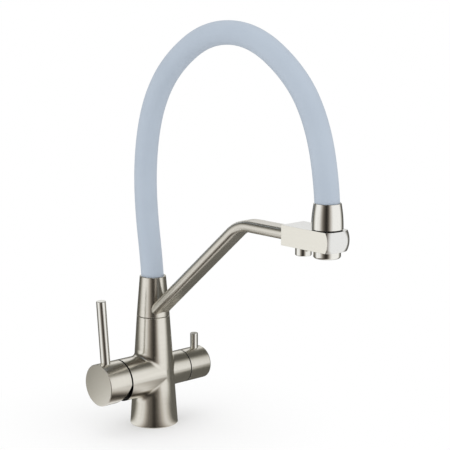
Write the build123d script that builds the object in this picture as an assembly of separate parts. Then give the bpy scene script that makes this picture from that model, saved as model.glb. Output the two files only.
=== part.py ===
from build123d import *
import math
import os

os.makedirs("parts", exist_ok=True)

# Deck mounted kitchen mixer with a second, separate waterway for filtered water.
# Millimetres. The origin is the centre of the foot on the deck and +Z is up.
# The arm points along -Y, the mixer lever is on the -X side and the filter knob on +X.

# Clearances
fit = 0.05            # radial play of a seated or running round part
slack = 0.3           # space between faces that move past each other
edge = 0.4            # small edge break
overrun = 2.0         # how far a cut runs past the face that it opens

# Fixed column
foot_r = 25.4         # outside radius at the deck
seam_r = 17.4         # outside radius at the swivel seam
seam_z = 117.7        # height of the swivel seam
seam_gap = 0.4
gasket_inner_r = 20.0
gasket_outer_r = 23.2
gasket_t = 1.6

# Supply inlets and fixing studs under the foot, all on one pitch circle
under_pitch_r = 12.5
inlet_r = 4.46        # tapped bore of an M10 x 1 thread
inlet_depth = 14.0
stud_r = 3.32         # tapped bore of an M8 thread
stud_depth = 16.0
supply_angle = 150.0  # hot and cold inlets, on either side of the mixer's axis
stud_angle = 75.0     # studs, the filtered inlet is at zero
way_r = 2.5           # drilled waterways
filtered_way_r = 2.0

# Cross tube
tube_z = 54.5         # height of the cross tube's axis
main_r = 22.0         # mixer side, tube and cap
main_end = 45.6       # end face of the mixer side tube
main_blend = 6.0      # soft corner between tube and column
filter_r = 17.5       # filter side, tube and knob
filter_end = 38.0
filter_blend = 3.0

# Mixing cartridge, distances are measured outwards from the column's axis
chamber_floor = 18.1
tube_wall = 4.1       # cross tube around the cartridge
housing_base_t = 3.2
port_r = 2.4
port_y_share = 0.573  # hot and cold ports beside the axis, as a share of the cavity's radius
port_low_share = 0.267   # and their drop below it
port_high_share = 0.611  # rise of the mixed water port
port_seal_r = 4.2
port_seal_t = 1.4
peg_r = 1.5           # locating pegs on the cartridge's base
peg_long = 1.6
peg_inset = 4.5
housing_wall = 4.4
disc_t = 3.0
moving_disc_t = 2.7
carrier_t = 3.8
turret_t = 5.5
turret_neck_wall = 2.1  # turret around the swept space of the lever's ball
turret_neck_long = 10.4
housing_lid_t = 2.0
housing_neck_step = 4.0
nut_wall = 3.4        # cross tube around the nut
nut_recess = 0.5      # how far the nut lies inside the tube's mouth
nut_notches = 6
notch_wide = 3.0
notch_deep = 1.6

# Lever spindle of the mixing cartridge
rock_inset = 3.0      # depth of the rocking pivot behind the tube's end face
pivot_r = 1.5
stem_square = 7.0
stem_end = 70.0
stem_shoulder = 4.5   # square length behind the pivot
tail_r = 2.0
ball_r = 2.4
ball_arm = 12.2       # pivot to ball centre
rock_angle = 20.0

# Dome over the rocking pivot
dome_play = 3.0
dome_t = 1.4
dome_hole_share = 0.63  # of the dome's radius
dome_seat_t = 1.2

# Mixer cap and lever
cap_gap = 1.5
cap_end = 74.2        # flat front disc of the cap
cap_wall = 2.2
cap_web_play = 0.5    # room between the dome and the solid front part
cap_edge = 0.6
bevel_depth = 11.5    # how far the cap's lower rear edge is cut back
lever_r = 5.0
lever_at = 64.5       # where the lever stands on the cap
lever_tip_z = 143.3
lever_rake = 4.0      # outward lean in degrees
lever_edge = 0.8
lever_seat = 6.0      # depth of the lever's foot inside the cap
lever_tail_r = 3.0
lever_tail_long = 5.0
grub_r = 2.5
grub_at = 65.6
grub_tip_r = 1.2      # hexagon socket

# Filter valve
valve_floor = 14.8
valve_r = 10.9
valve_flange_at = 30.8
valve_flange_r = 12.4
valve_flange_end = 36.8
valve_neck_r = 7.5
valve_neck_end = 43.8
valve_seal_t = 1.2
valve_cavity_r = 8.6
valve_disc_t = 2.5
valve_moving_t = 2.0
valve_port_r = 2.0
valve_port_off = 4.2
spindle_r = 3.9
spindle_flange_t = 2.0
spindle_end = 58.0

# Filter knob and its pin
knob_groove = 0.9
knob_end = 66.5
knob_wall = 2.6
knob_web = 47.0
knob_round = 1.5
knob_pin_r = 4.2
knob_pin_at = 57.2
knob_pin_tip_z = 88.0
knob_pin_seat = 4.0
knob_tail_r = 2.5
knob_tail_long = 4.0
knob_grub_r = 2.0
knob_grub_at = 53.0

# Swivel spigot on the column
spigot_r = 10.5
spigot_tail_r = 9.4
spigot_tail_long = 16.0
spigot_flange_r = 13.4
spigot_flange_t = 3.5
spigot_bore_r = 4.0
filter_way_r = 1.5
filter_way_x = 6.4
slip_ring_t = 0.6
ring_floor_r = 8.7    # floor of the seal grooves
ring_groove = 2.4
land = 1.0            # solid land between neighbouring grooves
catch_groove = 3.8    # groove for the collar's retaining screw
catch_floor_r = 9.0
water_groove = 3.2
catch_screw_r = 2.5
catch_tip_r = 1.5

# Swivel collar
rim_z = 160.2
rim_r = 13.8
rim_edge = 0.5
socket_floor_z = 146.0
collar_web = 4.4
collar_port_r = 1.5

# Silicone hose, its support spring and the water hose inside
hose_r = 11.8
hose_bore_r = 8.8
spring_r = 8.5
spring_bore_r = 7.1
inner_r = 6.8
inner_bore_r = 4.4
hose_play = 0.2
arch_top = 419.5      # height of the route's topmost run

# Hose fittings
tail_bore_r = 3.0
barb_r = 4.3
barb_root_r = 3.7
barb_pitch = 3.6
barb_count = 3
fitting_flange_r = 6.5
fitting_flange_t = 3.0
fitting_thread_r = 5.0

# Arm, a flat oval tube
arm_flat = 12.6       # width of the flat top and bottom
arm_t = 11.2
arm_wall = 2.0
arm_root_sink = 1.5   # the arm's centre line meets the column's axis this far below the seam
arm_root = 9.0        # start of the arm's bar inside the collar, before it is cut to fit
arm_z = 234.2         # height of the level part
corner_share = 0.5534 # the bend's corner, as a share of the reach
arm_bend_r = 39.0
arm_tenon = 7.0       # how far the arm enters the holder block

# Holder block, its distances are measured from the nozzle's axis
block_behind = 45.6
block_way_r = 3.0
block_ahead = 16.8
block_wide = 29.6
block_low = 224.9
block_high = 244.3
turned_corner = 11.3  # where the turned end starts on the block's corners
turned_side = 14.3    # and on its sides
facet_r = 9.4         # flat round facet on that end

# Spray dock, on the nozzle axis
reach = 252.6         # nozzle axis from the column's axis
sleeve_r = 12.9
sleeve_low = 217.7
sleeve_round = 2.2
sleeve_sink = 0.4

# Filtered water outlet under the block
outlet_behind = 30.6  # behind the nozzle's axis
outlet_r = 7.8
outlet_low = 215.7
outlet_high = 229.0
outlet_chamber_high = 238.0
outlet_bore_r = 5.0
outlet_edge = 0.8
outlet_mouth_r = 6.4
outlet_mouth_deep = 6.4
outlet_washer_t = 1.2

# Spray head
head_play = 0.3       # gap between the head's seal and the block
stem_r = 9.55
stem_low = 219.5
seal_t = 0.45
seal_inner_r = 10.2
seal_outer_r = 14.0
ferrule_low_r = 14.9
ferrule_waist_r = 14.6
ferrule_top_r = 12.75
ferrule_high = 24.2
waist_share = 0.42    # height of the waist radius, as a share of the ferrule's
ferrule_web_at = 3.5
ferrule_web_t = 3.5
ferrule_edge = 0.25
stem_neck_r = 6.9
stem_flange_drop = 0.35
valve_bore_r = 7.0
check_low = 231.0
check_long = 12.0
check_bore_r = 4.0
aerator_mouth_r = 8.4
aerator_mouth_deep = 7.7
aerator_washer_t = 1.2

# Aerator grids
grid_t = 1.6
grid_inset = 0.4
grid_pitch = 2.5
grid_web = 0.5
grid_skirt = 1.0

# Levels that follow from the sizes above
column_top = seam_z - seam_gap / 2
collar_low = seam_z + seam_gap / 2
cap_rear = main_end + cap_gap
cap_cavity_r = main_r - cap_wall
housing_r = main_r - tube_wall
housing_neck_r = housing_r - housing_neck_step
nut_r = main_r - nut_wall
cavity_r = housing_r - housing_wall
port_y = cavity_r * port_y_share
port_low = cavity_r * port_low_share
port_high = cavity_r * port_high_share
peg_pitch_r = housing_r - peg_inset
disc_travel = ball_arm * math.sin(math.radians(rock_angle))
turret_neck_r = disc_travel + ball_r + slack + turret_neck_wall
disc_r = cavity_r - disc_travel - slack  # moving disc and its carrier
knob_rear = filter_end + knob_groove
knob_cavity_r = filter_r - knob_wall
rock_at = main_end - rock_inset
disc_seat = chamber_floor + housing_base_t
moving_disc_at = disc_seat + disc_t + slack
carrier_at = moving_disc_at + moving_disc_t
turret_at = carrier_at + carrier_t + slack
turret_neck_at = turret_at + turret_t
lid_at = turret_neck_at + slack
nut_at = lid_at + housing_lid_t
nut_face = main_end - nut_recess
turret_end = turret_neck_at + turret_neck_long
dome_at = main_end + slack
dome_r = cap_cavity_r - dome_play
dome_hole_r = dome_r * dome_hole_share
dome_nearest = math.asin(dome_hole_share) - math.radians(rock_angle)
cap_web = rock_at + dome_r * math.cos(dome_nearest) + cap_web_play
supply_x = under_pitch_r * math.cos(math.radians(supply_angle))
supply_y = under_pitch_r * math.sin(math.radians(supply_angle))
spigot_shoulder = column_top - slip_ring_t + slack / 3
collar_bore_r = spigot_r + fit
catch_z = spigot_shoulder + slip_ring_t + land + catch_groove / 2
ring_one_z = catch_z + catch_groove / 2 + land + ring_groove / 2
water_z = ring_one_z + ring_groove / 2 + land + water_groove / 2
ring_two_z = water_z + water_groove / 2 + land + ring_groove / 2
ring_three_z = ring_two_z + ring_groove + land
spigot_top = ring_three_z + ring_groove / 2 + 2 * land
collar_ceiling = socket_floor_z - collar_web
ferrule_low = block_high + head_play + seal_t
ferrule_top = ferrule_low + ferrule_high
head_floor = ferrule_low + ferrule_web_at + ferrule_web_t
stem_flange_low = ferrule_low + stem_flange_drop
stem_flange_high = ferrule_low + ferrule_web_at
block_mid = (block_low + block_high) / 2
block_near = reach - block_behind
block_far = reach + block_ahead
outlet_at = reach - outlet_behind
arm_corner = reach * corner_share
arm_root_z = seam_z - arm_root_sink
arm_rise = (arm_z - arm_root_z) / arm_corner
BASE = (Align.CENTER, Align.CENTER, Align.MIN)


def rod(radius, low, high):
    """Upright cylinder on the Z axis between two levels."""
    return Pos(0, 0, low) * Cylinder(radius, high - low, align=BASE)


def ring(outer, inner, low, high):
    """Upright tube on the Z axis between two levels."""
    return rod(outer, low, high) - rod(inner, low - overrun, high + overrun)


def turned(*outline):
    """Solid of revolution about Z from radius and height pairs."""
    return revolve(Plane.XZ * make_face(Polyline(*outline, close=True)), Axis.Z)


def mixer_side(shape):
    """Lay a shape that was drawn along +Z on the cross tube, pointing along -X, local +X up."""
    return Location((0, 0, tube_z), (0, -90, 0)) * shape


def filter_side(shape):
    """Lay a shape that was drawn along +Z on the cross tube, pointing along +X, local -X up."""
    return Location((0, 0, tube_z), (0, 90, 0)) * shape


def nozzle(shape):
    """Move a shape from the column's axis to the nozzle's axis."""
    return Pos(0, -reach, 0) * shape


def column_radius(height):
    """Outside radius of the column's cone at a height."""
    return foot_r + (seam_r - foot_r) * height / seam_z


def save(name, shape):
    export_step(shape, f"parts/{name}.step")


# Fixed column and what is drilled into it
def body_outside():
    column = turned((0, 0), (foot_r, 0), (column_radius(column_top), column_top), (0, column_top))
    column = chamfer(column.edges().filter_by(GeomType.CIRCLE), edge)
    tubes = mixer_side(rod(main_r, 0, main_end)) + filter_side(rod(filter_r, 0, filter_end))
    whole = column + tubes
    corners = whole.edges().filter_by(GeomType.BSPLINE)
    whole = fillet([e for e in corners if e.center().X < 0], main_blend)
    corners = whole.edges().filter_by(GeomType.BSPLINE)
    right = [e for e in corners if e.center().X > filter_r / 2 and e.length > filter_r]
    whole = fillet(right, filter_blend)
    mouths = [e for e in whole.edges().filter_by(GeomType.CIRCLE)
              if e.center().X < -main_end + edge or e.center().X > filter_end - edge]
    return chamfer(mouths, edge)


def foot_cuts():
    cuts = ring(gasket_outer_r, gasket_inner_r, -overrun, gasket_t)
    for y in (-supply_y, supply_y):
        cuts += Pos(supply_x, y) * rod(inlet_r, -overrun, inlet_depth)
        cuts += Pos(supply_x, y) * rod(way_r, 0, tube_z - port_low + port_r)
    cuts += Pos(under_pitch_r, 0) * rod(inlet_r, -overrun, inlet_depth)
    cuts += Pos(under_pitch_r, 0) * rod(filtered_way_r, 0, tube_z - valve_port_off + valve_port_r)
    for turn in (-stud_angle, stud_angle):
        cuts += Rot(0, 0, turn) * Pos(under_pitch_r, 0) * rod(stud_r, -overrun, stud_depth)
    return cuts


def mixer_chamber():
    cuts = rod(housing_r + fit, chamber_floor, main_end + overrun)
    cuts += rod(nut_r + fit, nut_at, main_end + overrun)
    for y in (-port_y, port_y):
        cuts += Pos(-port_low, y) * rod(port_r, -supply_x - way_r, chamber_floor + overrun)
    cuts += Pos(port_high, 0) * rod(port_r, 0, chamber_floor + overrun)
    for y in (-peg_pitch_r, peg_pitch_r):
        cuts += Pos(0, y) * rod(peg_r + fit, chamber_floor - peg_long - fit, chamber_floor + overrun)
    return mixer_side(cuts)


def filter_chamber():
    cuts = rod(valve_r + fit, valve_floor, filter_end + overrun)
    cuts += rod(valve_flange_r + fit, valve_flange_at, filter_end + overrun)
    cuts += Pos(valve_port_off, 0) * rod(valve_port_r, under_pitch_r, valve_floor + overrun)
    cuts += Pos(-valve_port_off, 0) * rod(valve_port_r, filter_way_x, valve_floor + overrun)
    return filter_side(cuts)


def top_cuts():
    tail_low = spigot_shoulder - spigot_flange_t - spigot_tail_long
    cuts = rod(spigot_tail_r + fit, tail_low, column_top + overrun)
    cuts += rod(spigot_flange_r + fit, spigot_shoulder - spigot_flange_t, column_top + overrun)
    cuts += rod(spigot_bore_r, tube_z + port_high, column_top)
    cuts += Pos(filter_way_x, 0) * rod(filter_way_r, tube_z + valve_port_off, column_top)
    return cuts


save("tap_body", body_outside() - foot_cuts() - mixer_chamber() - filter_chamber() - top_cuts())
save("base_gasket", ring(gasket_outer_r - fit, gasket_inner_r + fit, 0, gasket_t))


# Swivel spigot, its seals and the slip ring that carries the collar
def spigot():
    low = spigot_shoulder - spigot_flange_t
    shape = rod(spigot_tail_r, low - spigot_tail_long, spigot_shoulder)
    shape += rod(spigot_flange_r, low, spigot_shoulder)
    shape += rod(spigot_r, spigot_shoulder, spigot_top)
    grooves = [(catch_z, catch_groove, catch_floor_r), (water_z, water_groove, catch_floor_r)]
    grooves += [(z, ring_groove, ring_floor_r) for z in (ring_one_z, ring_two_z, ring_three_z)]
    for z, wide, floor_r in grooves:
        shape -= ring(spigot_r + overrun, floor_r, z - wide / 2, z + wide / 2)
    shape -= rod(spigot_bore_r, low - spigot_tail_long - overrun, spigot_top + overrun)
    shape -= Pos(filter_way_x, 0) * rod(filter_way_r, low - spigot_tail_long - overrun, water_z)
    shape -= Location((filter_way_x, 0, water_z), (0, 90, 0)) * rod(filter_way_r, 0, spigot_r)
    return shape


def seal_ring(height):
    cord_r = (collar_bore_r - ring_floor_r) / 2 - fit / 2
    return Pos(0, 0, height) * Torus((collar_bore_r + ring_floor_r) / 2, cord_r)


save("swivel_spigot", spigot())
save("spigot_o_rings", Compound(children=[seal_ring(z) for z in (ring_one_z, ring_two_z, ring_three_z)]))
save("slip_ring", ring(spigot_flange_r, spigot_r + fit, spigot_shoulder, spigot_shoulder + slip_ring_t))


# Mixing cartridge, drawn along its own axis with the column at zero
def cartridge_housing():
    neck_end = nut_face - edge
    shape = rod(housing_r, chamber_floor, nut_at) + rod(housing_neck_r, nut_at, neck_end)
    shape -= rod(cavity_r, disc_seat, lid_at)
    shape -= rod(turret_neck_r + fit, disc_seat, neck_end + overrun)
    for x, y in ((-port_low, -port_y), (-port_low, port_y), (port_high, 0)):
        shape -= Pos(x, y) * rod(port_r, chamber_floor - overrun, disc_seat + overrun)
        shape -= Pos(x, y) * rod(port_seal_r + fit, chamber_floor - overrun, chamber_floor + port_seal_t)
    for y in (-peg_pitch_r, peg_pitch_r):
        shape += Pos(0, y) * rod(peg_r, chamber_floor - peg_long, chamber_floor + fit)
    return shape


def port_seals():
    places = ((-port_low, -port_y), (-port_low, port_y), (port_high, 0))
    one = ring(port_seal_r, port_r + slack, chamber_floor + fit, chamber_floor + port_seal_t)
    return Compound(children=[mixer_side(Pos(x, y) * one) for x, y in places])


def fixed_disc():
    shape = rod(cavity_r - fit, disc_seat, disc_seat + disc_t)
    for x, y in ((-port_low, -port_y), (-port_low, port_y), (port_high, 0)):
        shape -= Pos(x, y) * rod(port_r, disc_seat - overrun, disc_seat + disc_t + overrun)
    return shape


def moving_disc():
    shape = rod(disc_r, moving_disc_at, carrier_at)
    channel = extrude(SlotOverall(disc_r * 1.5, disc_r * 0.7), moving_disc_t / 2)
    return shape - Pos(0, 0, moving_disc_at) * channel


def disc_carrier():
    play = fit * 2
    pocket = Box(2 * (ball_r + play), 2 * (ball_r + play), carrier_t + overrun, align=BASE)
    return rod(disc_r, carrier_at, carrier_at + carrier_t) - Pos(0, 0, carrier_at) * pocket


def turret():
    shape = rod(cavity_r - slack, turret_at, turret_neck_at)
    shape += rod(turret_neck_r, turret_neck_at, turret_end)
    half = stem_square / 2
    swing = math.radians(rock_angle)
    low = -half / math.cos(swing) - (turret_end - rock_at) * math.tan(swing) - slack
    high = disc_travel + ball_r + slack
    side = (Align.MIN, Align.CENTER, Align.MIN)
    slot = Box(high - low, stem_square + 2 * slack, turret_end, align=side)
    shape -= Pos(low, 0, turret_at - overrun) * slot
    return shape - Location((0, 0, rock_at), (90, 0, 0)) * Cylinder(pivot_r + fit / 2, 3 * turret_neck_r)


def dome():
    ball = Sphere(dome_r) - Sphere(dome_r - dome_t)
    shape = Pos(0, 0, rock_at) * ball
    shape &= ring(dome_r, dome_hole_r, dome_at, rock_at + dome_r)
    seat_r = math.sqrt((dome_r - dome_t / 2) ** 2 - (dome_at - rock_at) ** 2)
    return shape + ring(seat_r, turret_neck_r + fit, dome_at, dome_at + dome_seat_t)


def cartridge_nut():
    shape = ring(nut_r, housing_neck_r + fit, nut_at, nut_face)
    notch = Box(2 * notch_deep, notch_wide, 2 * notch_deep)
    cut = [place * notch for place in PolarLocations(housing_neck_r, nut_notches)]
    return shape - Pos(0, 0, nut_face) * Compound(children=cut)


save("cartridge_housing", mixer_side(cartridge_housing()))
save("cartridge_port_seals", port_seals())
save("ceramic_disc_fixed", mixer_side(fixed_disc()))
save("ceramic_disc_moving", mixer_side(moving_disc()))
save("disc_carrier", mixer_side(disc_carrier()))
save("cartridge_turret", mixer_side(turret()))
save("cartridge_nut", mixer_side(cartridge_nut()))
save("cartridge_dome", mixer_side(dome()))
pivot_half = math.sqrt(turret_neck_r ** 2 - pivot_r ** 2) - slack
pivot = Location((0, 0, rock_at), (90, 0, 0)) * Cylinder(pivot_r, 2 * pivot_half)
save("pivot_pin", mixer_side(pivot))


# Mixer handle: spindle, cap, lever and its set screw
def cartridge_stem():
    shape = Pos(0, 0, rock_at - stem_shoulder) * Box(
        stem_square, stem_square, stem_end - rock_at + stem_shoulder, align=BASE)
    shape = chamfer(shape.edges().group_by(Axis.Z)[-1], edge)
    shape += rod(tail_r, rock_at - ball_arm, rock_at)
    shape += Pos(0, 0, rock_at - ball_arm) * Sphere(ball_r)
    return shape - Location((0, 0, rock_at), (90, 0, 0)) * Cylinder(pivot_r + fit, 2 * stem_square)


def on_lever(shape):
    """Stand a shape that was drawn along +Z from the cap's axis on the raked lever axis."""
    foot = lever_at - main_r * math.tan(math.radians(lever_rake))
    return Location((0, 0, foot), (0, 90 - lever_rake, 0)) * shape


def grub_screw(radius, tip, head, place):
    """Set screw that points at the axis from below, with its hexagon socket outwards."""
    screw = rod(radius, tip, head) - Pos(0, 0, head) * extrude(RegularPolygon(grub_tip_r, 6), -radius)
    return Location((0, 0, place), (0, -90, 0)) * screw


def main_cap():
    shape = rod(main_r, cap_rear, cap_end)
    shape = chamfer(shape.edges().filter_by(GeomType.CIRCLE).sort_by(Axis.Z)[-1], cap_edge)
    shape -= rod(cap_cavity_r, cap_rear - overrun, cap_web)
    corner = (-main_r * 2, cap_rear + bevel_depth * 2)
    wedge = make_face(Polyline((0, cap_rear), corner, (-main_r * 2, cap_rear - overrun),
                               (0, cap_rear - overrun), close=True))
    shape -= extrude(Plane.XZ * wedge, 2 * main_r, both=True)
    across = stem_square + 2 * fit
    socket = Box(across, across, stem_end + fit - cap_web + overrun, align=BASE)
    shape -= Pos(0, 0, cap_web - overrun) * socket
    shape -= on_lever(rod(lever_r + fit, main_r - lever_seat, main_r + overrun))
    shape -= on_lever(rod(lever_tail_r + fit, main_r - lever_seat - lever_tail_long - fit, main_r))
    hole = rod(grub_r + fit, stem_square / 2, main_r + overrun)
    return shape - Location((0, 0, grub_at), (0, -90, 0)) * hole


def main_lever():
    top = (lever_tip_z - tube_z) / math.cos(math.radians(lever_rake))
    shape = rod(lever_r, main_r - lever_seat, top)
    shape = fillet(shape.edges().sort_by(Axis.Z)[-1], lever_edge)
    shape += rod(lever_tail_r, main_r - lever_seat - lever_tail_long, main_r)
    return on_lever(shape)


save("cartridge_stem", mixer_side(cartridge_stem()))
save("main_handle_cap", mixer_side(main_cap()))
save("main_lever_pin", mixer_side(main_lever()))
main_grub = grub_screw(grub_r, stem_square / 2 + fit, main_r - 2 * edge, grub_at)
save("main_grub_screw", mixer_side(main_grub))


# Filter valve, drawn along its own axis with the column at zero
def valve_body():
    shape = rod(valve_r, valve_floor, valve_flange_at)
    shape += rod(valve_flange_r, valve_flange_at, valve_flange_end)
    shape += rod(valve_neck_r, valve_flange_end, valve_neck_end)
    shape -= rod(valve_cavity_r, valve_floor - overrun, valve_cavity_end)
    return shape - rod(spindle_r + fit, valve_floor, valve_neck_end + overrun)


def valve_disc():
    shape = rod(valve_cavity_r - fit, valve_disc_at, valve_disc_at + valve_disc_t)
    for x in (-valve_port_off, valve_port_off):
        port = rod(valve_port_r, valve_disc_at - overrun, valve_disc_at + valve_disc_t + overrun)
        shape -= Pos(x, 0) * port
    return shape


def valve_moving_disc():
    shape = rod(valve_cavity_r - slack, valve_moving_at, spindle_at)
    window = Box(2 * valve_cavity_r, 2 * valve_cavity_r, valve_moving_t, align=BASE)
    shape -= Pos(valve_cavity_r + valve_port_r, 0, valve_moving_at - valve_moving_t / 2) * window
    return shape


def filter_spindle():
    shape = rod(valve_cavity_r - slack, spindle_at, spindle_at + spindle_flange_t)
    return shape + rod(spindle_r, spindle_at, spindle_end)


valve_disc_at = valve_floor + valve_seal_t
valve_moving_at = valve_disc_at + valve_disc_t + slack
spindle_at = valve_moving_at + valve_moving_t
valve_cavity_end = spindle_at + spindle_flange_t + slack
valve_seal_inner = valve_port_off + valve_port_r
save("filter_valve_body", filter_side(valve_body()))
save("filter_valve_seal", filter_side(
    ring(valve_cavity_r - fit, valve_seal_inner, valve_floor, valve_disc_at)))
save("filter_disc_fixed", filter_side(valve_disc()))
save("filter_disc_moving", filter_side(valve_moving_disc()))
save("filter_spindle", filter_side(filter_spindle()))


# Filter knob, its pin and set screw. Local -X is up on this side.
def upright(shape, place):
    """Stand a shape that was drawn along +Z on the knob's axis, pointing up."""
    return Location((0, 0, place), (0, -90, 0)) * shape


def filter_knob():
    shape = rod(filter_r, knob_rear, knob_end)
    shape = fillet(shape.edges().filter_by(GeomType.CIRCLE).sort_by(Axis.Z)[-1], knob_round)
    shape -= rod(knob_cavity_r, knob_rear - overrun, knob_web)
    shape -= rod(spindle_r + fit, knob_rear, spindle_end + fit)
    shape -= upright(rod(knob_pin_r + fit, filter_r - knob_pin_seat, filter_r + overrun), knob_pin_at)
    tail_low = filter_r - knob_pin_seat - knob_tail_long
    shape -= upright(rod(knob_tail_r + fit, tail_low - fit, filter_r), knob_pin_at)
    hole = rod(knob_grub_r + fit, spindle_r, filter_r + overrun)
    return shape - Location((0, 0, knob_grub_at), (0, 90, 0)) * hole


def filter_pin():
    shape = rod(knob_pin_r, filter_r - knob_pin_seat, knob_pin_tip_z - tube_z)
    shape = fillet(shape.edges().sort_by(Axis.Z)[-1], lever_edge)
    shape += rod(knob_tail_r, filter_r - knob_pin_seat - knob_tail_long, filter_r)
    return upright(shape, knob_pin_at)


save("filter_handle_cap", filter_side(filter_knob()))
save("filter_lever_pin", filter_side(filter_pin()))
knob_screw = rod(knob_grub_r, spindle_r + fit, filter_r - 2 * edge)
knob_screw -= Pos(0, 0, filter_r - 2 * edge) * extrude(RegularPolygon(grub_tip_r, 6), -knob_grub_r)
save("filter_grub_screw", filter_side(Location((0, 0, knob_grub_at), (0, 90, 0)) * knob_screw))


# Swivel collar with the sockets for spigot and hose
def collar_cone(play=0.0):
    return turned((0, collar_low), (seam_r + play, collar_low), (rim_r + play, rim_z), (0, rim_z))


def collar():
    shape = chamfer(collar_cone().edges().filter_by(GeomType.CIRCLE).sort_by(Axis.Z)[0], edge)
    shape = chamfer(shape.edges().filter_by(GeomType.CIRCLE).sort_by(Axis.Z)[-1], rim_edge)
    shape -= rod(collar_bore_r, collar_low - overrun, collar_ceiling)
    shape -= rod(hose_r + hose_play, socket_floor_z, rim_z + overrun)
    shape -= rod(fitting_thread_r + fit, collar_ceiling - overrun, socket_floor_z + overrun)
    shape -= Location((0, 0, water_z), (90, 0, 0)) * rod(collar_port_r, 0, seam_r + overrun)
    return shape - Location((0, 0, catch_z), (-90, 0, 0)) * rod(catch_screw_r + fit, 0, seam_r + overrun)


def catch_screw():
    head = column_radius(catch_z) - 2 * edge
    shape = rod(catch_screw_r, collar_bore_r + fit, head) + rod(catch_tip_r, catch_floor_r + slack, head)
    shape -= Pos(0, 0, head) * extrude(RegularPolygon(grub_tip_r, 6), -catch_screw_r)
    return Location((0, 0, catch_z), (-90, 0, 0)) * shape


save("swivel_collar", collar())
save("collar_grub_screw", catch_screw())


# Hose fitting with barbs, drawn upwards from the face that its flange sits on
def barbed_fitting(thread_long):
    outline = [(tail_bore_r, -thread_long), (fitting_thread_r, -thread_long), (fitting_thread_r, 0)]
    outline += [(fitting_flange_r, 0), (fitting_flange_r, fitting_flange_t), (barb_root_r, fitting_flange_t)]
    for turn in range(barb_count):
        low = fitting_flange_t + turn * barb_pitch
        outline += [(barb_r, low + barb_pitch / 3), (barb_root_r, low + barb_pitch)]
    outline += [(tail_bore_r, fitting_flange_t + barb_count * barb_pitch)]
    return turned(*outline)


save("lower_hose_fitting", Pos(0, 0, socket_floor_z) * barbed_fitting(collar_web))


# Hose route in the plane of the arm: straight runs whose corners are rounded by tangent arcs.
# Each corner is a share of the reach and a share of the arch's height above the hose's end on
# that side, which is the collar's rim where the hose rises and the head's web where it falls.
rising_shares = [(0, 0.011), (-0.0475, 0.32), (-0.0337, 0.547), (0.0265, 0.731), (0.1485, 0.878), (0.3543, 0.997)]
falling_shares = [(0.6057, 0.997), (0.8353, 0.783), (0.95, 0.518), (1, 0.162)]
hose_route = [(reach * out, rim_z + (arch_top - rim_z) * up) for out, up in rising_shares]
hose_route += [(reach * out, head_floor + (arch_top - head_floor) * up) for out, up in falling_shares]
arc_share = 0.45      # share of the shorter neighbouring run that an arc uses up


def corner_radii(points):
    """Radius for each corner that uses up the same share of its shorter neighbouring run."""
    radii = []
    for before, here, after in zip(points, points[1:], points[2:]):
        shorter = min(math.dist(before, here), math.dist(here, after))
        way_in = math.atan2(here[1] - before[1], here[0] - before[0])
        way_out = math.atan2(after[1] - here[1], after[0] - here[0])
        radii.append(arc_share * shorter / math.tan(abs(way_out - way_in) / 2))
    return radii


def hose_path(low_end, high_end):
    """Centre line of the hose between a level in the collar and one in the head."""
    points = [(0, low_end)] + hose_route + [(reach, high_end)]
    return FilletPolyline(*[(0, -out, up) for out, up in points], radius=hose_radii)


hose_radii = corner_radii([(0, socket_floor_z)] + hose_route + [(reach, head_floor)])


def hose_tube(outer, inner, low_end, high_end):
    path = hose_path(low_end, high_end)
    start = Plane(origin=path @ 0, z_dir=path % 0)
    return sweep(start * (Circle(outer) - Circle(inner)), path=path)


hose = hose_tube(hose_r, hose_bore_r, socket_floor_z, head_floor)
spring = hose_tube(spring_r, spring_bore_r, socket_floor_z, head_floor)
save("silicone_hose", hose)
save("hose_spring", spring)
inner_low = socket_floor_z + fitting_flange_t
inner_high = head_floor + fitting_flange_t
save("inner_hose", hose_tube(inner_r, inner_bore_r, inner_low, inner_high))
hose_long = hose_path(socket_floor_z, head_floor).length
print("hose length", round(hose_long, 1), "corner radii", [round(r, 1) for r in hose_radii])
section = math.pi * (hose_r ** 2 - hose_bore_r ** 2)
print("hose volume over section times length", round(hose.volume / (section * hose_long), 4))


# Arm: a flat oval tube that leaves the collar at a slope and bends level
def arm_bar(flat, thick, near, far):
    start = (0, -near, arm_root_z + near * arm_rise)
    path = FilletPolyline(start, (0, -arm_corner, arm_z), (0, -far, arm_z), radius=arm_bend_r)
    plane = Plane(origin=path @ 0, x_dir=(1, 0, 0), z_dir=path % 0)
    return sweep(plane * SlotOverall(flat + thick, thick), path=path)


def filter_arm():
    far = block_near + arm_tenon
    shape = arm_bar(arm_flat, arm_t, arm_root, far)
    shape -= arm_bar(arm_flat, arm_t - 2 * arm_wall, arm_root - overrun, far + overrun)
    return shape - collar_cone(fit)


save("filter_arm", filter_arm())


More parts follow.
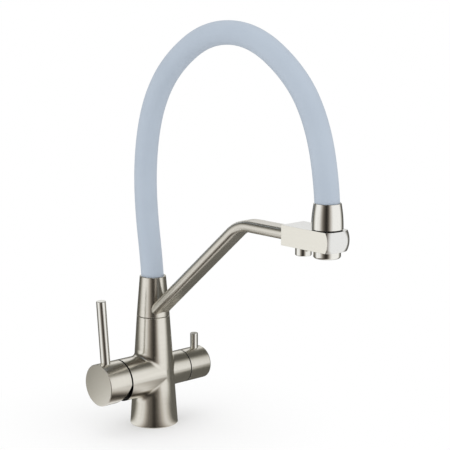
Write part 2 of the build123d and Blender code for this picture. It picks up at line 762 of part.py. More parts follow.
# Holder block with its turned end, the arm's mortise and the two bores
def block():
    long = block_far - block_near
    shape = Pos(0, -(block_near + long / 2), block_mid) * Box(block_wide, long, block_high - block_low)
    lathe_r = math.hypot(block_wide, block_high - block_low) / 2
    corner = (lathe_r, block_behind + turned_corner)
    lathe = make_face(
        Polyline((0, 0), (lathe_r, 0), corner)
        + ThreePointArc(corner, (block_wide / 2, block_behind + turned_side), (facet_r, long))
        + Polyline((facet_r, long), (0, long), (0, 0)))
    lathe = revolve(Plane.XZ * lathe, Axis.Z)
    shape &= Location((0, -block_near, block_mid), (90, 0, 0)) * lathe
    mortise = Location((0, -block_near, arm_z), (90, 0, 0)) * extrude(
        SlotOverall(arm_flat + arm_t + 2 * fit, arm_t + 2 * fit), arm_tenon, both=True)
    shape -= mortise
    shape -= nozzle(rod(sleeve_r + fit, block_low - overrun, block_high + overrun))
    shape -= Pos(0, -outlet_at) * rod(outlet_r + fit, block_low - overrun, outlet_high)
    shape -= Pos(0, -outlet_at) * rod(outlet_bore_r, block_low, outlet_chamber_high)
    channel = rod(block_way_r, 0, outlet_at - block_near)
    return shape - Location((0, -block_near, arm_z), (90, 0, 0)) * channel


def dock_sleeve():
    shape = ring(sleeve_r, stem_r + fit, sleeve_low, block_high - sleeve_sink)
    return fillet(shape.edges().group_by(Axis.Z)[0].sort_by(SortBy.RADIUS)[-1], sleeve_round)


save("holder_block", block())
save("dock_sleeve", nozzle(dock_sleeve()))


# Aerator insert: a skirt and a honeycomb of straight holes behind its mouth
def aerator(radius, low, high):
    shape = ring(radius, radius - grid_skirt, low, high) + rod(radius, low, low + grid_t)
    cell = extrude(RegularPolygon((grid_pitch - grid_web) / math.sqrt(3), 6), grid_t + 2 * overrun)
    step = grid_pitch * math.sqrt(3) / 2
    rows = int((radius - grid_skirt) / step)
    cells = []
    for row in range(-rows, rows + 1):
        shift = grid_pitch / 2 * (row % 2)
        for column in range(-rows - 1, rows + 2):
            x = column * grid_pitch + shift
            y = row * step
            if math.hypot(x, y) < radius - grid_skirt - grid_pitch / 2:
                cells.append(Pos(x, y, low - overrun) * Rot(0, 0, 30) * cell)
    return shape - cells


def filter_outlet():
    shape = rod(outlet_r, outlet_low, outlet_high)
    shape = fillet(shape.edges().sort_by(Axis.Z)[0], outlet_edge)
    shape -= rod(outlet_bore_r, outlet_low - overrun, outlet_high + overrun)
    return shape - rod(outlet_mouth_r, outlet_low - overrun, outlet_low + outlet_mouth_deep)


outlet_grid_low = outlet_low + grid_inset
outlet_washer_low = outlet_low + outlet_mouth_deep - outlet_washer_t
save("filter_outlet", Pos(0, -outlet_at) * filter_outlet())
outlet_insert_r = outlet_mouth_r - fit
outlet_washer = ring(outlet_insert_r, outlet_insert_r - 2 * grid_skirt,
                     outlet_washer_low, outlet_low + outlet_mouth_deep)
save("filter_aerator", Pos(0, -outlet_at) * aerator(outlet_insert_r, outlet_grid_low, outlet_washer_low))
save("filter_outlet_washer", Pos(0, -outlet_at) * outlet_washer)


# Spray head: ferrule, nozzle stem and what is inside
def ferrule():
    waist = (ferrule_waist_r, ferrule_low + ferrule_high * waist_share)
    side = ThreePointArc((ferrule_low_r, ferrule_low), waist, (ferrule_top_r, ferrule_top))
    rest = Polyline((ferrule_top_r, ferrule_top), (0, ferrule_top),
                    (0, ferrule_low), (ferrule_low_r, ferrule_low))
    shape = revolve(Plane.XZ * make_face(side + rest), Axis.Z)
    shape = chamfer(shape.edges().filter_by(GeomType.CIRCLE), ferrule_edge)
    shape -= rod(hose_r + hose_play, head_floor, ferrule_top + overrun)
    shape -= rod(stem_neck_r + fit, ferrule_low - overrun, head_floor + overrun)
    return shape - rod(ferrule_inner_r + fit, ferrule_low - overrun, stem_flange_high)


def nozzle_stem():
    shape = rod(stem_r, stem_low, stem_flange_high)
    shape = chamfer(shape.edges().sort_by(Axis.Z)[0], edge)
    shape += rod(ferrule_inner_r, stem_flange_low, stem_flange_high)
    shape += rod(stem_neck_r, stem_flange_high, head_floor)
    shape -= rod(valve_bore_r, stem_low - overrun, check_low + check_long)
    shape -= rod(aerator_mouth_r, stem_low - overrun, stem_low + aerator_mouth_deep)
    return shape - rod(fitting_thread_r + fit, check_low, head_floor + overrun)


def check_valve():
    shape = ring(valve_bore_r - fit, check_bore_r, check_low, check_low + check_long)
    spider = Box(2 * check_bore_r + fit, grid_skirt, grid_t, align=BASE)
    return shape + Pos(0, 0, check_low) * (spider + Rot(0, 0, 90) * spider)


ferrule_inner_r = (seal_outer_r + ferrule_top_r) / 2
washer_low = stem_low + aerator_mouth_deep - aerator_washer_t
save("hose_ferrule", nozzle(ferrule()))
save("nozzle_stem", nozzle(nozzle_stem()))
save("stem_seal", nozzle(ring(seal_outer_r, seal_inner_r, ferrule_low - seal_t, ferrule_low)))
save("check_valve", nozzle(check_valve()))
head_insert_r = aerator_mouth_r - fit
head_washer = ring(head_insert_r, head_insert_r - 2 * grid_skirt,
                   washer_low, stem_low + aerator_mouth_deep)
save("head_aerator", nozzle(aerator(head_insert_r, stem_low + grid_inset, washer_low)))
save("aerator_washer", nozzle(head_washer))
upper_fitting = Pos(0, 0, head_floor) * barbed_fitting(head_floor - check_low - check_long)
save("upper_hose_fitting", nozzle(upper_fitting))
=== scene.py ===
import math

import bmesh
import bpy
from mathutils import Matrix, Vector

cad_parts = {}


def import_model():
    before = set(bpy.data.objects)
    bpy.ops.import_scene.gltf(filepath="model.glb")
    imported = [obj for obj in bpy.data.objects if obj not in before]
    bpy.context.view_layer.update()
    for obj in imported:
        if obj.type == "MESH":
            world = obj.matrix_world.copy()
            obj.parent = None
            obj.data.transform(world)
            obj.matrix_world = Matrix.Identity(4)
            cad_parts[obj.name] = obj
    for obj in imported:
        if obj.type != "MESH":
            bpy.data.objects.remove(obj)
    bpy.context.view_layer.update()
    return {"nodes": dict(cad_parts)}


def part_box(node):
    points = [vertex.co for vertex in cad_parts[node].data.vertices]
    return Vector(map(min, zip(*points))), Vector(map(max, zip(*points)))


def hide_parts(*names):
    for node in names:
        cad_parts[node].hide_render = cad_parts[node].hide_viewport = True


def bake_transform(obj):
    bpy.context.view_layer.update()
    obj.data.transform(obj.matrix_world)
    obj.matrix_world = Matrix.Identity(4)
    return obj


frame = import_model()
scene = bpy.context.scene
nodes = frame["nodes"]


# Camera at the photograph's angle
LENS = 120.0
SENSOR = 36.0
CAMERA_PLACE = (-0.982, -1.192, 0.4993)
CAMERA_TURN = (math.radians(79.52), 0, math.radians(-42.3))
CAMERA_REACH = 60.0
camera_data = bpy.data.cameras.new("camera")
camera_data.lens = LENS
camera_data.sensor_width = SENSOR
camera_data.clip_end = CAMERA_REACH
camera = bpy.data.objects.new("camera", camera_data)
camera.location = CAMERA_PLACE
camera.rotation_euler = CAMERA_TURN
scene.collection.objects.link(camera)
scene.camera = camera
scene.view_settings.view_transform = "Standard"


# Node helpers
class Nodes:
    """A material or world with short calls for adding shader nodes."""

    def __init__(self, owner):
        owner.use_nodes = True
        self.tree = owner.node_tree
        self.tree.nodes.clear()

    def add(self, kind, inputs=None, **settings):
        node = self.tree.nodes.new(kind)
        for name, value in settings.items():
            setattr(node, name, value)
        for name, value in (inputs or {}).items():
            if isinstance(value, bpy.types.NodeSocket):
                self.tree.links.new(value, node.inputs[name])
            else:
                node.inputs[name].default_value = value
        return node

    def math(self, operation, *values):
        return self.add("ShaderNodeMath", dict(enumerate(values)), operation=operation).outputs[0]

    def remap(self, value, low, high, to_low, to_high):
        inputs = {"Value": value, "From Min": low, "From Max": high, "To Min": to_low, "To Max": to_high}
        return self.add("ShaderNodeMapRange", inputs).outputs[0]

    def mix(self, factor, first, second):
        node = self.add("ShaderNodeMix", data_type="RGBA")
        for name, value in (("Factor", factor), ("A", first), ("B", second)):
            sockets = [s for s in node.inputs if s.name == name and s.enabled]
            if isinstance(value, bpy.types.NodeSocket):
                self.tree.links.new(value, sockets[0])
            else:
                sockets[0].default_value = value
        return [s for s in node.outputs if s.enabled][0]

    def place(self):
        return self.add("ShaderNodeTexCoord").outputs["Object"]

    def noise(self, vector, scale, detail=3.0, rough=0.55):
        inputs = {"Vector": vector, "Scale": scale, "Detail": detail, "Roughness": rough}
        return self.add("ShaderNodeTexNoise", inputs).outputs["Fac"]

    def stretch(self, vector, scale):
        return self.add("ShaderNodeVectorMath", {0: vector, 1: scale}, operation="MULTIPLY").outputs[0]


def rgb(color):
    return (*color, 1.0)


def finish_material(n, shader):
    n.add("ShaderNodeOutputMaterial", {"Surface": shader.outputs[0]})


def seen_straight(n):
    """One for what the camera sees, directly, mirrored or through glass."""
    path = n.add("ShaderNodeLightPath")
    mirrored = n.math("MAXIMUM", path.outputs["Is Glossy Ray"], path.outputs["Is Transmission Ray"])
    return n.math("MAXIMUM", path.outputs["Is Camera Ray"], mirrored)


# Metal tones, the painted gap shade, reflection and edge highlight, and the values of its finish
NICKEL = (0.782, 0.755, 0.687)
NICKEL_DARK = (0.752, 0.723, 0.653)
POLISHED = (0.86, 0.85, 0.805)
BLOCK = (0.82, 0.798, 0.725)
BLOCK_DARK = (0.805, 0.782, 0.708)
# painted reflection tone for the block's top and far end
BLOCK_PAINTED_REFLECTION = (0.805, 0.805, 0.785)
# painted shade for the walls of gaps
PAINTED_GAP_SHADE = (0.012, 0.011, 0.01)
# lighter colour of outer edges: partly wear, partly a painted highlight
EDGE_WEAR_AND_HIGHLIGHT = (0.93, 0.92, 0.885)
ROUNDING = 0.0003         # radius that the shading gives to sharp edges
WEAR_AND_HIGHLIGHT_WIDTH = 0.0004
WEAR_AND_HIGHLIGHT_FROM = 0.99          # cosine between face and rounded edge where the wear and the painted highlight begin, and where they are full
WEAR_AND_HIGHLIGHT_FULL = 0.92          # and where it is full
WEAR_AND_HIGHLIGHT_MOST = 0.5
WORN_ROUGH = 0.35         # roughness that full wear would add
WORN_METALLIC = 0.4       # and the metallic value that it would leave
GRAIN_DEPTH = 0.00004
GAP_FACING = 0.6          # part of the normal that must look into a gap
REFLECTION_FACE_Y = -0.1           # limits of the normal on the block's faces with the painted reflection tone
REFLECTION_FACE_Z = 0.7


def facing(n, axis, away, beyond):
    """One on faces that look along an object axis past a limit: the walls of a gap, which get painted shade.
    """
    normal = n.add("ShaderNodeSeparateXYZ", {0: n.add("ShaderNodeTexCoord").outputs["Normal"]})
    place = n.add("ShaderNodeSeparateXYZ", {0: n.place()})
    turned = n.math("MULTIPLY", normal.outputs[axis], away)
    past = n.math("MULTIPLY", place.outputs[axis], away)
    looks_in = n.math("GREATER_THAN", turned, GAP_FACING)
    return n.math("MULTIPLY", looks_in, n.math("GREATER_THAN", past, beyond))


def rounded(n):
    return n.add("ShaderNodeBevel", {"Radius": ROUNDING}, samples=4).outputs[0]


def worn_and_highlit_edge(n):
    """Rises on outer edges: wear that rubs the brushing matt, and a painted highlight that makes the colour
    lighter there.
    """
    wide = n.add("ShaderNodeBevel", {"Radius": WEAR_AND_HIGHLIGHT_WIDTH}, samples=6).outputs[0]
    flat = n.add("ShaderNodeNewGeometry").outputs["Normal"]
    meet = n.add("ShaderNodeVectorMath", {0: wide, 1: flat}, operation="DOT_PRODUCT").outputs["Value"]
    return n.remap(meet, WEAR_AND_HIGHLIGHT_FROM, WEAR_AND_HIGHLIGHT_FULL, 0.0, WEAR_AND_HIGHLIGHT_MOST)


def painted_reflection_faces(n):
    way = n.add("ShaderNodeSeparateXYZ", {0: n.add("ShaderNodeTexCoord").outputs["Normal"]})
    end = n.math("LESS_THAN", way.outputs["Y"], REFLECTION_FACE_Y)
    return n.math("MAXIMUM", end, n.math("GREATER_THAN", way.outputs["Z"], REFLECTION_FACE_Z))


def brushed(name, lay, rough=0.21, fine=2200.0, tone=NICKEL, shade=NICKEL_DARK, gap=None,
            turned=None, depth=0.05, wear_and_highlight=True):
    """Brushed metal. lay gives the stretch of the grain along X, Y and Z, or works out its place.
    gap is the axis, the side and the place past which faces on that side stand in a gap and get painted
    shade.
    turned is a painted reflection: a cooler, whiter tone for the faces on top and at the far end."""
    material = bpy.data.materials.new(name)
    n = Nodes(material)
    grain_at = lay(n) if callable(lay) else n.stretch(n.place(), lay)
    grain = n.noise(grain_at, fine, 2.0, 0.6)
    streak = n.noise(grain_at, fine * 0.3, 2.0, 0.5)
    cloud = n.noise(n.place(), 45.0, 3.0)
    color = n.mix(n.remap(streak, 0.3, 0.7, 0.0, 1.0), rgb(shade), rgb(tone))
    # Faces on top and at the far end get a painted reflection: a cooler, whiter tone.
    if turned:
        color = n.mix(painted_reflection_faces(n), color, rgb(turned))
    haze = n.remap(cloud, 0.35, 0.7, -0.01, 0.02)
    roughness = n.math("ADD", n.remap(grain, 0.25, 0.75, rough - 0.03, rough + 0.05), haze)
    metallic = 1.0
    unlit = facing(n, *gap) if gap else None
    # Outer edges: wear makes them rougher and less metallic, and a painted highlight makes their colour
    # lighter.
    if wear_and_highlight:
        edge = worn_and_highlit_edge(n)
        color = n.mix(edge, color, rgb(EDGE_WEAR_AND_HIGHLIGHT))
        if gap:
            edge = n.math("MULTIPLY", edge, n.math("SUBTRACT", 1.0, unlit))
        roughness = n.math("ADD", roughness, n.math("MULTIPLY", edge, WORN_ROUGH))
        metallic = n.remap(edge, 0.0, 1.0, 1.0, WORN_METALLIC)
    # Faces that look into a gap get painted shade: a near-black colour in place of the shade there.
    if gap:
        color = n.mix(unlit, color, rgb(PAINTED_GAP_SHADE))
    bump = n.add("ShaderNodeBump", {"Height": grain, "Strength": depth, "Distance": GRAIN_DEPTH,
                                    "Normal": rounded(n)})
    shader = n.add("ShaderNodeBsdfPrincipled", {
        "Base Color": color, "Roughness": roughness, "Metallic": metallic, "Normal": bump.outputs[0]})
    finish_material(n, shader)
    return material


def polished(name, rough=0.1, tone=POLISHED):
    """Polished metal with a faint haze and hairlines."""
    material = bpy.data.materials.new(name)
    n = Nodes(material)
    haze = n.noise(n.place(), 160.0, 4.0)
    hair = n.noise(n.stretch(n.place(), (1.0, 1.0, 14.0)), 700.0, 2.0)
    cloudy = n.remap(haze, 0.3, 0.7, rough - 0.03, rough + 0.04)
    roughness = n.math("ADD", cloudy, n.remap(hair, 0.3, 0.7, 0.0, 0.02))
    bump = n.add("ShaderNodeBump", {"Height": haze, "Strength": 0.012, "Distance": 0.0001,
                                    "Normal": rounded(n)})
    shader = n.add("ShaderNodeBsdfPrincipled", {
        "Base Color": rgb(tone), "Roughness": roughness, "Metallic": 1.0, "Normal": bump.outputs[0]})
    finish_material(n, shader)
    return material


def plain(name, tone, rough=0.5, metallic=0.0, grain=600.0, depth=0.08, vary=0.12):
    """Moulded or cast material with a fine grain and slight changes of tone."""
    material = bpy.data.materials.new(name)
    n = Nodes(material)
    fine = n.noise(n.place(), grain, 4.0)
    cloud = n.noise(n.place(), 60.0, 3.0)
    low = tuple(c * (1 - vary) for c in tone)
    color = n.mix(n.remap(cloud, 0.3, 0.7, 0.0, 1.0), rgb(low), rgb(tone))
    roughness = n.remap(fine, 0.3, 0.7, rough - 0.06, rough + 0.06)
    bump = n.add("ShaderNodeBump", {"Height": fine, "Strength": depth, "Distance": 0.0002})
    shader = n.add("ShaderNodeBsdfPrincipled", {
        "Base Color": color, "Roughness": roughness, "Metallic": metallic, "Normal": bump.outputs[0]})
    finish_material(n, shader)
    return material


# Line of the arm's middle, for its grain
ARM_BEND_Y = 0.1398
ARM_BEND_Z = 0.2342
ARM_SLOPE = 0.844
ARM_BEND_SOFT = 0.02
ARM_STRETCH = 0.015


def arm_grain(n):
    """Grain that follows the arm: across its width and height, long along its run."""
    axes = n.add("ShaderNodeSeparateXYZ", {0: n.place()})
    along = n.math("MULTIPLY", axes.outputs["Y"], -1.0)
    slope = n.math("MULTIPLY", n.math("SUBTRACT", along, ARM_BEND_Y), ARM_SLOPE)
    line = n.add("ShaderNodeMath", {0: slope, 1: 0.0, 2: ARM_BEND_SOFT}, operation="SMOOTH_MIN").outputs[0]
    above = n.math("SUBTRACT", n.math("SUBTRACT", axes.outputs["Z"], ARM_BEND_Z), line)
    return n.add("ShaderNodeCombineXYZ", {
        "X": axes.outputs["X"], "Y": n.math("MULTIPLY", axes.outputs["Y"], ARM_STRETCH),
        "Z": above}).outputs[0]


body_brushed = brushed("brushed_body", (0.02, 0.02, 1.0), rough=0.185, gap=("X", -1.0, 0.045))
upright_brushed = brushed("brushed_upright", (0.02, 0.02, 1.0))
cap_brushed = brushed("brushed_cap", (1.0, 0.02, 0.02), gap=("X", 1.0, -0.07))
knob_brushed = brushed("brushed_knob", (1.0, 0.02, 0.02), gap=("X", -1.0, -0.0393))
arm_brushed = brushed("brushed_arm", arm_grain, rough=0.27, depth=0.025, wear_and_highlight=False)
block_satin = brushed("satin_block", (1.0, 0.03, 1.0), rough=0.14, tone=BLOCK, shade=BLOCK_DARK,
                      turned=BLOCK_PAINTED_REFLECTION)
bright = polished("polished_nickel")
black_rubber = plain("black_rubber", (0.012, 0.012, 0.013), 0.55, vary=0.3)
dark_plastic = plain("dark_plastic", (0.018, 0.018, 0.02), 0.42, vary=0.25)
slip_black = plain("slip_ring_black", (0.02, 0.019, 0.018), 0.5, vary=0.25)
grey_plastic = plain("aerator_plastic", (0.35, 0.36, 0.37), 0.38)
white_plastic = plain("cartridge_plastic", (0.72, 0.72, 0.70), 0.42)
ceramic = plain("ceramic", (0.86, 0.85, 0.81), 0.18, grain=900.0, depth=0.02, vary=0.04)
brass = plain("turned_brass", (0.70, 0.53, 0.27), 0.25, metallic=1.0, depth=0.05)
# The nut shows through the gap behind the cap; its near-black colour is painted shade for that gap.
gap_shade_metal = plain("gap_shade_brass", (0.05, 0.045, 0.038), 0.35, metallic=1.0)
steel = plain("spring_steel", (0.55, 0.55, 0.56), 0.28, metallic=1.0, depth=0.04)
dark_steel = plain("dark_screw_steel", (0.16, 0.155, 0.15), 0.35, metallic=1.0)
inner_white = plain("inner_hose_weave", (0.70, 0.71, 0.72), 0.45)

finish_of = {
    "tap_body": body_brushed, "swivel_collar": upright_brushed, "filter_arm": arm_brushed,
    "holder_block": block_satin, "main_handle_cap": cap_brushed, "filter_handle_cap": knob_brushed,
    "main_lever_pin": bright, "filter_lever_pin": bright, "hose_ferrule": bright, "dock_sleeve": bright,
    "filter_outlet": bright, "slip_ring": slip_black, "cartridge_dome": dark_plastic,
    "stem_seal": black_rubber, "base_gasket": black_rubber, "cartridge_port_seals": black_rubber,
    "spigot_o_rings": black_rubber, "filter_outlet_washer": black_rubber, "aerator_washer": black_rubber,
    "filter_valve_seal": black_rubber, "head_aerator": grey_plastic, "filter_aerator": grey_plastic,
    "check_valve": white_plastic, "cartridge_housing": white_plastic, "disc_carrier": white_plastic,
    "cartridge_turret": white_plastic, "ceramic_disc_fixed": ceramic, "ceramic_disc_moving": ceramic,
    "filter_disc_fixed": ceramic, "filter_disc_moving": ceramic, "main_grub_screw": dark_steel,
    "filter_grub_screw": dark_steel, "collar_grub_screw": dark_steel, "pivot_pin": dark_steel,
    "swivel_spigot": brass, "nozzle_stem": brass, "lower_hose_fitting": brass, "upper_hose_fitting": brass,
    "filter_valve_body": brass, "cartridge_nut": gap_shade_metal, "filter_spindle": brass, "cartridge_stem": brass,
    "hose_spring": steel, "inner_hose": inner_white, "silicone_hose": black_rubber,
}
for name, obj in nodes.items():
    obj.data.materials.clear()
    obj.data.materials.append(finish_of[name])


# Hose route, the same points as in the solid: each is a share of the reach and a share of the
# arch's height above the hose's end on that side. The hose's line is a spline on these points.
RISING = [(0, 0.011), (-0.0475, 0.32), (-0.0337, 0.547), (0.0265, 0.731), (0.1485, 0.878), (0.3543, 0.997)]
FALLING = [(0.6057, 0.997), (0.8353, 0.783), (0.95, 0.518), (1, 0.162)]
ARCH_TOP = 0.4195
HEAD_WEB = 0.007
FITTING_FLANGE = 0.003
SLEEVE_R, SLEEVE_BORE, SLEEVE_SIDES = 0.0118, 0.75, 64     # bore as a share of the radius
CORE_R, CORE_BORE, CORE_SIDES = 0.0068, 0.65, 32
COIL_R, COIL_PITCH, COIL_STEPS = 0.0078, 0.0030, 14        # steps to each turn
WIRE_R, WIRE_SIDES = 0.00065, 5
ferrule_low, ferrule_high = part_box("hose_ferrule")
reach = -(ferrule_low[1] + ferrule_high[1]) / 2
rim_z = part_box("swivel_collar")[1][2]
socket_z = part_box("silicone_hose")[0][2]
web_z = ferrule_low[2] + HEAD_WEB


def hose_line(low, high):
    """Points along the hose's centre line, read from a spline on the route's points."""
    points = [(0, -reach * out, rim_z + (ARCH_TOP - rim_z) * up) for out, up in RISING]
    points += [(0, -reach * out, web_z + (ARCH_TOP - web_z) * up) for out, up in FALLING]
    points = [(0, 0, low)] + points + [(0, -reach, high)]
    curve = bpy.data.curves.new("hose_route", "CURVE")
    curve.dimensions = "3D"
    curve.resolution_u = 20
    spline = curve.splines.new("NURBS")
    spline.points.add(len(points) - 1)
    for control, point in zip(spline.points, points):
        control.co = (*point, 1.0)
    spline.order_u = 3
    spline.use_endpoint_u = True
    holder = bpy.data.objects.new("hose_route", curve)
    mesh = bpy.data.meshes.new_from_object(holder)
    line = [v.co.copy() for v in mesh.vertices]
    bpy.data.objects.remove(holder)
    bpy.data.curves.remove(curve)
    bpy.data.meshes.remove(mesh)
    return line


def put(name, data):
    """New object in the scene."""
    piece = bpy.data.objects.new(name, data)
    scene.collection.objects.link(piece)
    return piece


def put_smooth(name, mesh):
    """New object from built faces, shaded smooth."""
    data = bpy.data.meshes.new(name)
    mesh.to_mesh(data)
    mesh.free()
    for face in data.polygons:
        face.use_smooth = True
    return put(name, data)


def round_directions(way):
    """Two directions square to one that lies in the arm's plane."""
    across = Vector((1, 0, 0))
    return across, way.cross(across)


def on_circle(first, second, angle):
    return first * math.cos(angle) + second * math.sin(angle)


def bridge(mesh, first, second):
    sides = len(first)
    for s in range(sides):
        mesh.faces.new((first[s], first[(s + 1) % sides], second[(s + 1) % sides], second[s]))


def loft(name, line, radius, sides, bore):
    """Tube round a line that lies in the arm's plane, with a rim at both ends down to its bore."""
    mesh = bmesh.new()
    rings = []
    for k, point in enumerate(line):
        way = (line[min(k + 1, len(line) - 1)] - line[max(k - 1, 0)]).normalized()
        across, up = round_directions(way)
        rings.append([mesh.verts.new(point + on_circle(across, up, 2 * math.pi * s / sides) * radius)
                      for s in range(sides)])
    for first, second in zip(rings, rings[1:]):
        bridge(mesh, first, second)
    for ring, point in ((rings[0], line[0]), (rings[-1], line[-1])):
        bridge(mesh, ring, [mesh.verts.new(point + (v.co - point) * bore) for v in ring])
    bmesh.ops.recalc_face_normals(mesh, faces=mesh.faces)
    return put_smooth(name, mesh)


def silicone():
    """Matt blue grey silicone with a slight bloom."""
    material = bpy.data.materials.new("silicone_blue_grey")
    n = Nodes(material)
    fine = n.noise(n.place(), 900.0, 3.0)
    cloud = n.noise(n.place(), 22.0, 3.0)
    color = n.mix(n.remap(cloud, 0.3, 0.7, 0.0, 1.0), rgb((0.455, 0.522, 0.608)), rgb((0.478, 0.546, 0.632)))
    bump = n.add("ShaderNodeBump", {"Height": fine, "Strength": 0.05, "Distance": 0.0002})
    shader = n.add("ShaderNodeBsdfPrincipled", {
        "Base Color": color, "Roughness": n.remap(fine, 0.3, 0.7, 0.5, 0.62), "Normal": bump.outputs[0],
        "Specular IOR Level": 0.25, "Sheen Weight": 0.12, "Sheen Roughness": 0.5})
    finish_material(n, shader)
    return material


def lay_hose():
    """The three pieces of the hose, which stretch from the collar to the head."""
    line = hose_line(socket_z, web_z)
    outer = loft("silicone_sleeve", line, SLEEVE_R, SLEEVE_SIDES, SLEEVE_BORE)
    outer.data.materials.append(silicone())
    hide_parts("silicone_hose")

    core_line = hose_line(socket_z + FITTING_FLANGE, web_z + FITTING_FLANGE)
    core = loft("inner_water_hose", core_line, CORE_R, CORE_SIDES, CORE_BORE)
    core.data.materials.append(inner_white)
    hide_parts("inner_hose")

    coil = support_coil(line)
    coil.data.materials.append(steel)
    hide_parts("hose_spring")
    for piece in (outer, core, coil):
        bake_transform(piece)


def support_coil(line):
    """Helical spring wire between the silicone sleeve and the water hose."""
    lengths = [0.0]
    for first, second in zip(line, line[1:]):
        lengths.append(lengths[-1] + (second - first).length)
    mesh = bmesh.new()
    before = None
    place = 0
    for k in range(int(lengths[-1] / COIL_PITCH * COIL_STEPS) + 1):
        at = min(lengths[-1], COIL_PITCH * k / COIL_STEPS)
        while place < len(lengths) - 2 and lengths[place + 1] < at:
            place += 1
        share = (at - lengths[place]) / (lengths[place + 1] - lengths[place])
        way = (line[place + 1] - line[place]).normalized()
        out = on_circle(*round_directions(way), 2 * math.pi * k / COIL_STEPS)
        point = line[place].lerp(line[place + 1], share) + out * COIL_R
        ring = [mesh.verts.new(point + on_circle(out, way, 2 * math.pi * s / WIRE_SIDES) * WIRE_R)
                for s in range(WIRE_SIDES)]
        if before:
            bridge(mesh, before, ring)
        before = ring
    return put_smooth("support_coil", mesh)


lay_hose()


# Studio: floor, backdrop, world and lamps. FRONT is the direction from which the turns count.
FRONT = math.radians(-129.5)
TABLE_R = 0.5
TABLE_SIDES = 96
TABLE_WHITE = 0.94
FOOT_CLEAR = 0.0253       # inner edge of the card on the table, round the foot
CARD_LIFT = 0.0008        # its height above the table
SHADE_NEAR, SHADE_FAR, SHADE_LEAST = 0.03, 0.2, 0.35   # the floor turns white over this distance
WALL = 0.7                # distance of the backdrop
WALL_LOW, WALL_HIGH = -0.6, 2.0
ROOF_GREY = 0.12
CARD_STEPS = 48
WORLD_LIGHT = 0.92
LAMP_TARGET = (0, -0.1, 0.2)
LAMPS = [                 # name, place, width, height and power
    ("left_light", (-2.0, -0.2, 1.4), 1.2, 1.6, 4.0),
    ("right_light", (0.9, -2.0, 1.4), 1.2, 1.6, 5.5),
    ("top_light", (0.0, 0.3, 2.4), 1.6, 1.6, 4.0),
]

# What the metal mirrors: a dim room with soft boxes in it and dark flags between them. A row gives
# the first and last turn from the front in degrees, minus to the left, and how soft these edges
# are; the lowest and highest place in metres, and how soft those are; and the grey of the piece.
# The place is the height on the wall, or the distance from the foot's middle on the table. A later
# row covers an earlier one.
WALL_GREY = 0.12
WALL_RIG = [
    (-103, -32, 45, -0.8, 0.65, 0.5, 0.97),      # left box
    (25, 92, 30, -0.8, 0.65, 0.5, 0.97),         # right box
    (145, 220, 35, 0.3, 0.7, 0.3, 0.95),         # rear box: two rows, as the turn ends at 180
    (-220, -155, 35, 0.3, 0.7, 0.3, 0.95),
    (-6, 11, 22, -0.8, 0.6, 0.4, 0.02),          # front flag
    (-58.5, -56.5, 3, -0.8, 0.25, 0.1, 0.5),     # gap between the left box's panels
]
TABLE_GREY = 0.14
TABLE_RIG = [
    (-88, -38, 38, -0.1, 0.6, 0.1, 0.92),        # left box
    (33, 68, 40, -0.1, 0.18, 0.08, 0.82),        # near part of the right box
    (32, 84, 36, 0.18, 0.6, 0.08, 0.95),         # right box
    (-8, 9, 24, -0.1, 0.6, 0.1, 0.02),           # front flag
    (-58.5, -56.5, 3, 0.06, 0.3, 0.05, 0.6),     # gap between the left box's panels
]
WHITE = (1.0, 1.0, 1.0, 1.0)
BROWN = (1.0, 0.875, 0.75, 1.0)    # tint of the dark parts in front
OLIVE = (1.0, 0.965, 0.84, 1.0)    # and of those at the sides
TINT_FRONT, TINT_SIDE = 55.0, 85.0
TINT_LIMIT = 0.9                   # light that shows no tint


def soft_step(n, value, at, soft):
    span = {"Value": value, "From Min": at - soft / 2, "From Max": at + soft / 2}
    return n.add("ShaderNodeMapRange", span, interpolation_type="SMOOTHSTEP").outputs[0]


def soft_span(n, value, first, last, soft):
    """One between two limits, falling off smoothly round each of them."""
    return n.math("SUBTRACT", soft_step(n, value, first, soft), soft_step(n, value, last, soft))


def from_axis(n, x, y):
    return n.math("SQRT", n.math("ADD", n.math("POWER", x, 2.0), n.math("POWER", y, 2.0)))


def studio_light(name, upright, light, rig):
    """Emission of a dim surround with the rows of a rig on it."""
    material = bpy.data.materials.new(name)
    n = Nodes(material)
    axes = n.add("ShaderNodeSeparateXYZ", {0: n.place()})
    x, y = axes.outputs["X"], axes.outputs["Y"]
    ahead = n.math("ADD", n.math("MULTIPLY", x, math.cos(FRONT)), n.math("MULTIPLY", y, math.sin(FRONT)))
    aside = n.math("SUBTRACT", n.math("MULTIPLY", y, math.cos(FRONT)), n.math("MULTIPLY", x, math.sin(FRONT)))
    turn = n.math("DEGREES", n.math("ARCTAN2", aside, ahead))
    place = axes.outputs["Z"] if upright else from_axis(n, x, y)
    for first, last, soft, low, high, fade, grey in rig:
        across = soft_span(n, turn, first, last, soft)
        cover = n.math("MULTIPLY", across, soft_span(n, place, low, high, fade))
        light = n.remap(cover, 0.0, 1.0, light, grey)
    sideways = n.remap(n.math("ABSOLUTE", turn), TINT_FRONT, TINT_SIDE, 0.0, 1.0)
    tint = n.mix(n.remap(light, 0.0, TINT_LIMIT, 0.0, 1.0), n.mix(sideways, BROWN, OLIVE), WHITE)
    finish_material(n, n.add("ShaderNodeEmission", {"Color": tint, "Strength": light}))
    return material


def plain_light(name, strength):
    """Emission of one grey."""
    material = bpy.data.materials.new(name)
    n = Nodes(material)
    finish_material(n, n.add("ShaderNodeEmission", {"Color": WHITE, "Strength": strength}))
    return material


def swept_card(name, near, far, material):
    """Backdrop that only shows in reflections, swept right round the object between two edges,
    each a distance and a height."""
    corners = []
    for k in range(CARD_STEPS + 1):
        towards = FRONT + math.radians(-180 + 360 * k / CARD_STEPS)
        corners += [(out * math.cos(towards), out * math.sin(towards), up) for out, up in (near, far)]
    faces = [(2 * k, 2 * k + 2, 2 * k + 3, 2 * k + 1) for k in range(CARD_STEPS)]
    data = bpy.data.meshes.new(name)
    data.from_pydata(corners, [], faces)
    data.materials.append(material)
    piece = put(name, data)
    piece.visible_camera = False
    piece.visible_diffuse = False
    piece.visible_shadow = False


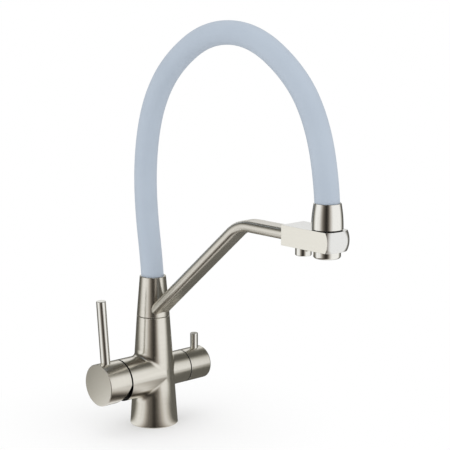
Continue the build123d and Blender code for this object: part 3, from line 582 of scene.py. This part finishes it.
def table():
    """Floor that keeps the shadow by the foot and turns white further out."""
    data = bpy.data.meshes.new("table")
    turns = [2 * math.pi * k / TABLE_SIDES for k in range(TABLE_SIDES)]
    ring = [(TABLE_R * math.cos(turn), TABLE_R * math.sin(turn), 0.0) for turn in turns]
    data.from_pydata(ring, [], [tuple(range(TABLE_SIDES))])
    put("table", data)
    material = bpy.data.materials.new("table")
    n = Nodes(material)
    axes = n.add("ShaderNodeSeparateXYZ", {0: n.place()})
    out = from_axis(n, axes.outputs["X"], axes.outputs["Y"])
    far = n.remap(out, SHADE_NEAR, SHADE_FAR, SHADE_LEAST, 1.0)
    matt = n.add("ShaderNodeBsdfDiffuse", {"Color": rgb((TABLE_WHITE, TABLE_WHITE, TABLE_WHITE))})
    white = n.add("ShaderNodeEmission", {"Color": WHITE, "Strength": 1.0})
    blend = n.add("ShaderNodeMixShader", {
        0: n.math("MULTIPLY", seen_straight(n), far), 1: matt.outputs[0], 2: white.outputs[0]})
    finish_material(n, blend)
    data.materials.append(material)


def world():
    """White where it is seen, and a little dimmer as light."""
    made = bpy.data.worlds.new("world")
    scene.world = made
    n = Nodes(made)
    strength = n.remap(seen_straight(n), 0.0, 1.0, WORLD_LIGHT, 1.0)
    back = n.add("ShaderNodeBackground", {"Color": WHITE, "Strength": strength})
    n.add("ShaderNodeOutputWorld", {"Surface": back.outputs[0]})


def lamp(name, place, width, height, power):
    """Soft rectangular lamp that doesn't show in reflections."""
    data = bpy.data.lights.new(name, "AREA")
    data.shape = "RECTANGLE"
    data.size = width
    data.size_y = height
    data.energy = power
    piece = put(name, data)
    piece.location = place
    piece.rotation_euler = (Vector(LAMP_TARGET) - Vector(place)).to_track_quat("-Z", "Y").to_euler()
    piece.visible_glossy = False


table()
world()
swept_card("studio_wall", (WALL, WALL_LOW), (WALL, WALL_HIGH),
           studio_light("studio_wall", True, WALL_GREY, WALL_RIG))
swept_card("studio_table", (FOOT_CLEAR, CARD_LIFT), (TABLE_R, CARD_LIFT),
           studio_light("studio_table", False, TABLE_GREY, TABLE_RIG))
swept_card("studio_roof", (0.0, WALL_HIGH), (WALL, WALL_HIGH), plain_light("studio_roof", ROOF_GREY))
for values in LAMPS:
    lamp(*values)
